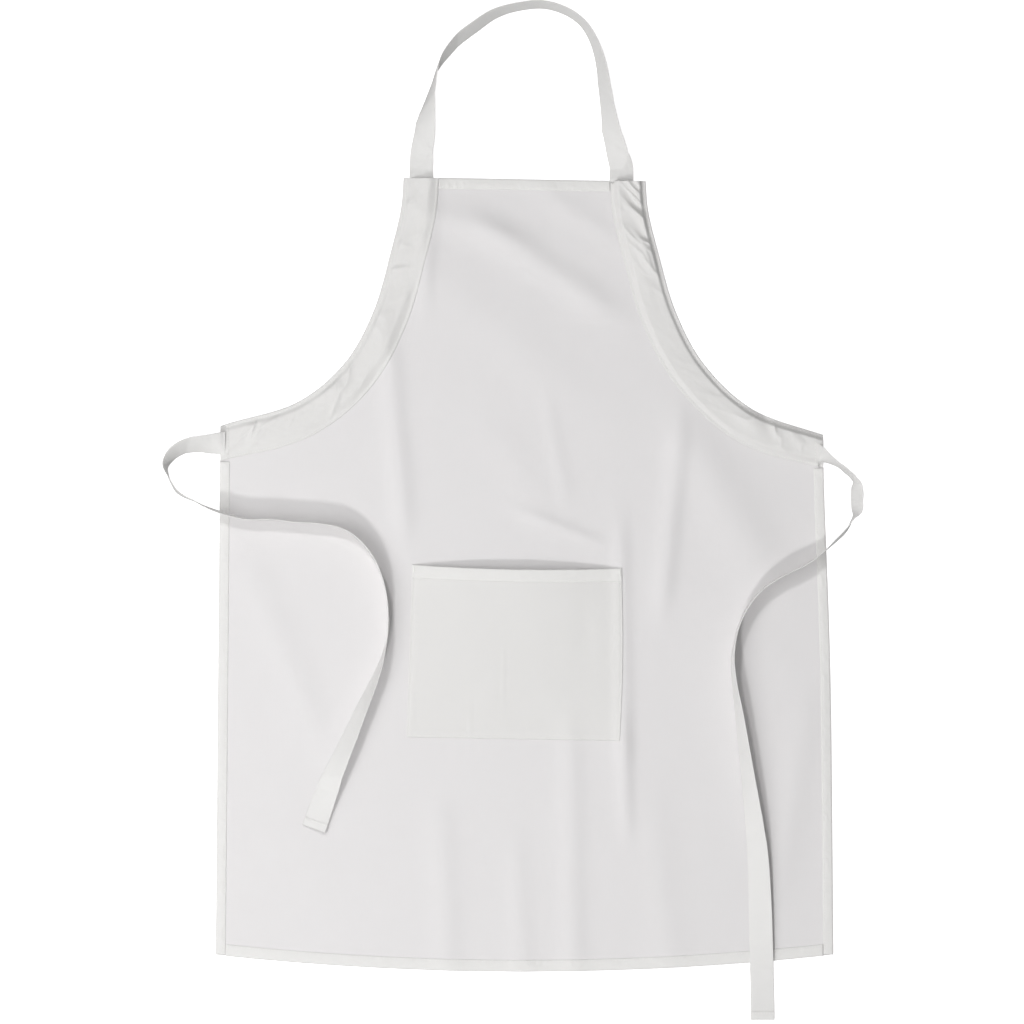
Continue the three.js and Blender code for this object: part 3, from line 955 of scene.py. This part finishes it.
class APRON_OT_pocket(Operator):
    """Adds the patch pocket, its hem, its stitches and the bar tacks at its mouth."""

    bl_idname = "apron.pocket"
    bl_label = "Pocket"

    def execute(self, context):
        low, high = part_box("pocket_panel")
        self.corners = {
            "top_left": (low.x + 0.004, high.y + 0.0015),
            "top_right": (high.x + 0.001, high.y - 0.0025),
            "low_left": (low.x - 0.003, low.y + 0.0015),
            "low_right": (high.x - 0.001, low.y - 0.0025),
        }
        self.tall = high.y - low.y
        self.wide = high.x - low.x
        u, v = np.meshgrid(self.columns(), np.linspace(0, 1, POCKET_STEPS), indexing="ij")
        cloth = self.layer("pocket_cloth", u, v, 0, sizes().cloth, "woven_cotton_layered")
        on_body(cloth, SKIRT, "cotton", "pocket_panel")
        self.hem()
        self.rows_of_stitches()
        self.tacks()
        return {"FINISHED"}

    def columns(self):
        """Shares of the width, closer together at both sides."""
        t = np.linspace(0, 1, POCKET_STEPS)
        return t - 0.085 * np.sin(2 * np.pi * t) * np.abs(np.cos(np.pi * t))

    def plan(self, u, v):
        """X and Y of a four-cornered patch whose mouth sags and whose right side swells a little."""
        corner = {name: np.array(place) for name, place in self.corners.items()}
        u, v = u[..., None], v[..., None]
        low = corner["low_left"] * (1 - u) + corner["low_right"] * u
        top = corner["top_left"] * (1 - u) + corner["top_right"] * u
        place = low * (1 - v) + top * v
        sag = 0.0035 * np.sin(np.pi * u) ** 0.8 * v**3
        swell = 0.0025 * np.sin(np.pi * v) * u**4
        return place[..., 0] + swell[..., 0], place[..., 1] - sag[..., 0]

    def rise(self, u, v):
        """Height over the body cloth: least where it is sewn, most in the mouth's middle, and one hollow."""
        side = np.sin(np.pi * np.clip((u - 0.012) / 0.976, 0, 1)) ** 0.85
        up = np.clip((v - 0.02) / 0.98, 0, 1)
        full = sizes().gape * 0.90 * side * up**2.6
        between = np.clip((u - 0.01) / 0.98, 0, 1)
        belly = 0.0026 * np.sin(np.pi * between) ** 0.6 * np.sin(np.pi * up * 0.9) ** 0.8
        soft = 0.0012 * (noise(u * 5 + 2, v * 4, 61) - 0.5) * side * np.sin(np.pi * up)
        hollow = -0.0024 * bell((u - 0.84) / 0.06) * bell((v - 0.64) / 0.17)
        return full + belly + soft + hollow * side

    def margin(self, u, v):
        """Distance to the nearest of the three sewn sides."""
        return np.minimum(np.minimum(u, 1 - u) * self.wide, v * self.tall)

    def stitch_dip(self, u, v):
        """Dips along the three sewn sides, and a pucker beside them."""
        away = self.margin(u, v)
        beside = 0.006
        run = np.where(v * self.tall < beside, u * self.wide, v * self.tall)
        pucker = 0.30 * MM * creases(run / 0.009, away / beside, 67) * bell((away - beside) / beside)
        return crease_line(away, INSET, 0.30 * MM) * (away < beside) + pucker

    def layer(self, name, u, v, lift, thickness, kind):
        """A slab over the pocket's plan, rounded down at its sewn sides and dipped along the stitches."""
        x, y = self.plan(u, v)
        fold = 0.35 * MM * smooth(self.margin(u, v) / (0.5 * MM)) - 0.35 * MM
        base = lie(x, y) + sizes().cloth + 0.05 * MM
        low = base + self.rise(u, v) + lift
        high = low + thickness + 0.35 * MM + fold + self.stitch_dip(u, v)
        return slab(name, x, y, low, high, material(kind))

    def hem(self):
        """The turned layers along the mouth, puckered along their lower edge."""
        deep = POCKET_HEM / self.tall
        u, v = np.meshgrid(self.columns(), np.linspace(1 - deep, 1, 20), indexing="ij")
        x, y = self.plan(u, v)
        offset = (v - 1 + deep) * self.tall
        base = lie(x, y) + sizes().cloth * 2 + 0.45 * MM + self.rise(u, v)
        shoulder = 1 - np.abs(2 * offset / POCKET_HEM - 1) ** 9
        pucker = 0.30 * MM * creases(u * self.wide / 0.010, offset / 0.012, 71)
        thickness = 0.25 * MM + (0.42 * MM + pucker) * shoulder + crease_line(offset, INSET, 0.15 * MM)
        thing = slab("pocket_hem_turned", x, y, base, base + thickness, material("woven_cotton_folded"))
        on_body(thing, SKIRT, "cotton", "pocket_hem")

    def on_top(self, u, v, lift):
        """Puts a line on the pocket's top layer."""
        x, y = self.plan(u, v)
        z = lie(x, y) + sizes().cloth * 2 + 0.40 * MM + self.rise(u, v) + lift
        return np.column_stack([x, y, z])

    def rows_of_stitches(self):
        """The row along the mouth's hem, and one row down, across and up the three sewn sides."""
        deep = POCKET_HEM / self.tall
        u = np.linspace(0.012, 0.988, 120)
        line = self.on_top(u, np.full(u.shape, 1 - deep + INSET / self.tall), 0.60 * MM)
        on_body(stitches("pocket_hem_stitches", line), SKIRT, "thread", "pocket_hem_stitching")
        left, right, foot = INSET / self.wide, 1 - INSET / self.wide, INSET / self.tall
        down = np.linspace(1 - deep * 0.9, foot, 90)
        over = np.linspace(left, right, 110)[1:-1]
        u = np.concatenate([np.full(down.shape, left), over, np.full(down.shape, right)])
        v = np.concatenate([down, np.full(over.shape, foot), down[::-1]])
        line = self.on_top(u, v, -0.10 * MM)
        on_body(stitches("pocket_stitches", line), SKIRT, "thread", "pocket_stitching")

    def tacks(self):
        """Close zigzag stitches, 7.5 mm long and 2.2 mm wide, at both corners of the mouth."""
        inset = 2.2 * MM / self.wide
        legs = 34
        t = np.linspace(0, 1, legs + 1)
        wide = 1.1 * MM / self.wide * np.where(np.arange(legs + 1) % 2, 1, -1)
        v = 1 - (1.2 * MM + 7.5 * MM * t) / self.tall
        for side, share in (("left", inset), ("right", 1 - inset)):
            line = self.on_top(share + wide, v, 0.85 * MM)
            thing = stitches(f"{side}_pocket_bar_tack", line, each_leg=True)
            on_body(thing, SKIRT, "thread", f"{side}_pocket_tack")


# ------------------------------------------------------------------ tapes and stitches
def tape_frames(route, step, seed):
    """The tape's middle line with its across and face directions. Its lower edge rests on the ground, taken at
    its highest and then averaged over 12 mm, because the tape is too firm to follow small waves."""
    rows = spline(route, step)
    xy = rows[:, :2]
    run = along(xy)
    heading = np.gradient(xy, axis=0)
    heading /= np.linalg.norm(heading, axis=1)[:, None]
    wobble = 3.0 * (noise(run / 0.045, 0.0, seed) - 0.5) * np.abs(np.sin(np.radians(rows[:, 2])))
    lean = np.radians(rows[:, 2] + wobble)
    flat = np.column_stack([-heading[:, 1], heading[:, 0]])
    across = np.column_stack([flat * np.cos(lean)[:, None], np.sin(lean)])
    face = np.cross(np.column_stack([heading, np.zeros(len(run))]), across)
    span = max(3, round(0.012 / step) | 1)
    under = ground(xy[:, 0], xy[:, 1])
    padded = np.pad(under, span // 2, mode="edge")
    raised = np.lib.stride_tricks.sliding_window_view(padded, span).max(axis=1)
    padded = np.pad(raised, span // 2, mode="edge")
    resting = np.lib.stride_tricks.sliding_window_view(padded, span).mean(axis=1)
    resting = np.where(run < 0.008, np.maximum(resting, 1.0 * MM), resting)
    if route is not NECK_ROUTE:
        resting = resting + END_LIFT * smooth((run - run[-1] + 0.045) / 0.045)
    width, thick = sizes().tape_width, sizes().tape_thickness
    z = resting + 0.1 * MM + thick / 2 + width / 2 * np.abs(np.sin(lean))
    return run, np.column_stack([xy, z]), across, face


def tape_ring(width, thickness):
    """Section of a tape: two flat faces and two round edges, as places along (across, face)."""
    half, small = width / 2, thickness / 2
    flat = np.linspace(-half + small, half - small, 9)
    turn = np.radians([-60, -20, 20, 60])
    right = np.column_stack([half - small + small * np.cos(turn), small * np.sin(turn)])
    left = -right
    top = np.column_stack([flat[::-1], np.full(9, small)])
    under = np.column_stack([flat, np.full(9, -small)])
    return np.vstack([under, right, top, left])


def carry(ring, middle, across, face):
    """A profile carried along a path: each ring point goes its two distances along across and face. Both ends are
    closed by strips between opposite points of the ring."""
    count, size = len(middle), len(ring)
    points = (
        middle[:, None, :]
        + ring[None, :, 0, None] * across[:, None, :]
        + ring[None, :, 1, None] * face[:, None, :]
    )
    faces = grid_faces(count, size, closed=True)
    half = size // 2
    first = np.arange(half - 1)
    mate = size - 1 - first
    cap = np.stack([first, mate, mate - 1, first + 1], axis=-1)
    last = cap[:, ::-1] + (count - 1) * size
    run = along(middle)
    uv = np.stack(np.broadcast_arrays(ring[None, :, 0] + 0.5, run[:, None]), axis=-1)
    return points, np.vstack([faces, cap, last]), uv


def tape(name, route, seed, creases_at):
    """The tape along a route: its section is carried along the middle line and cupped, more where it twists. Each
    crease is a sharp ridge, at a length along the tape, that slants across it."""
    run, middle, across, face = tape_frames(route, TAPE_STEP, seed)
    ring = tape_ring(sizes().tape_width, sizes().tape_thickness)
    points, faces, uv = carry(ring, middle, across, face)
    twist = np.abs(np.gradient(face[:, 2], run))
    cup = 0.35 * MM * (noise(run / 0.05, 3.0, seed + 5) - 0.5) + 1.7 * MM * smooth(twist / 13)
    bend = cup[:, None] * (1 - (2 * ring[None, :, 0] / sizes().tape_width) ** 2)
    for at, height, slant in creases_at:
        bend = bend + height * np.exp(-np.abs(run[:, None] + slant * ring[None, :, 0] - at) / 0.006)
    points = points + face[:, None, :] * bend[..., None]
    return put_mesh(name, points, faces, material("herringbone_tape"), uv), middle


def stitches(name, line, each_leg=False):
    """A row of stitches on a line. Each is a long bead, thick in its middle, whose ends go down into the cloth.
    The rings of every bead are worked out at once: its start, plus forward times the place along it, plus up
    times the arch, plus side and up times the cosine and sine of the way round. A zigzag line has a bead on
    each of its legs, and any other line has them at equal steps."""
    line = np.column_stack([*settle(line[:, 0], line[:, 1]), line[:, 2]])
    run = along(line)
    if each_leg:
        start, end = line[:-1], line[1:]
    else:
        count = max(1, int(run[-1] / sizes().stitch))
        at = np.arange(count) * run[-1] / count
        gap = 0.16 * run[-1] / count
        place = lambda t: np.column_stack([np.interp(t, run, column) for column in line.T])
        start, end = place(at + gap), place(at + run[-1] / count - gap)
    forward = end - start
    length = np.linalg.norm(forward, axis=1)[:, None]
    side = np.cross(forward / length, (0, 0, 1))
    side /= np.linalg.norm(side, axis=1)[:, None]
    up = np.cross(side, forward / length)
    fat = BEAD_FAT * sizes().thread / 2
    arch = BEAD_ARCH * sizes().thread
    turn = np.arange(BEAD_SIDES) * 2 * math.pi / BEAD_SIDES
    middle = start[:, None, :] + forward[:, None, :] * BEAD_PLACE[None, :, None]
    middle = middle + up[:, None, :] * arch[None, :, None]
    out = side[:, None, None, :] * (np.cos(turn) * fat[:, None])[None, ..., None]
    out = out + up[:, None, None, :] * (np.sin(turn) * fat[:, None])[None, ..., None]
    points = (middle[:, :, None, :] + out).reshape(-1, 3)
    rings = len(BEAD_PLACE)
    first = np.array([[0, 1, 2, 3], [0, 3, 4, 5]])
    last = first[:, ::-1] + (rings - 1) * BEAD_SIDES
    bead = np.vstack([grid_faces(rings, BEAD_SIDES, closed=True), first, last])
    faces = (bead[None] + rings * BEAD_SIDES * np.arange(len(start))[:, None, None]).reshape(-1, 4)
    return put_mesh(name, points, faces, material("sewing_thread"))


class VIEW3D_PT_apron(Panel):
    """Lists the apron's sizes, colours and building steps."""

    bl_label = "Apron"
    bl_space_type = "VIEW_3D"
    bl_region_type = "UI"
    bl_category = "Apron"

    def draw(self, context):
        for group in (context.scene.apron_sizes, context.scene.apron_colours):
            box = self.layout.box()
            for key in group.__annotations__:
                box.prop(group, key)
        for step in STEPS:
            self.layout.operator(step.bl_idname)


STEPS = (
    APRON_OT_stage,
    APRON_OT_neck_strap,
    APRON_OT_waist_ties,
    APRON_OT_body_cloth,
    APRON_OT_hems,
    APRON_OT_facings,
    APRON_OT_pocket,
)
CLASSES = (ApronSizes, ApronColours, *STEPS, VIEW3D_PT_apron)


def register():
    for made in CLASSES:
        bpy.utils.register_class(made)
    bpy.types.Scene.apron_sizes = PointerProperty(type=ApronSizes)
    bpy.types.Scene.apron_colours = PointerProperty(type=ApronColours)


def unregister():
    del bpy.types.Scene.apron_colours
    del bpy.types.Scene.apron_sizes
    for made in reversed(CLASSES):
        bpy.utils.unregister_class(made)


def main():
    register()
    for step in STEPS:
        group, name = step.bl_idname.split(".")
        getattr(getattr(bpy.ops, group), name)()


if __name__ == "__main__":
    main()
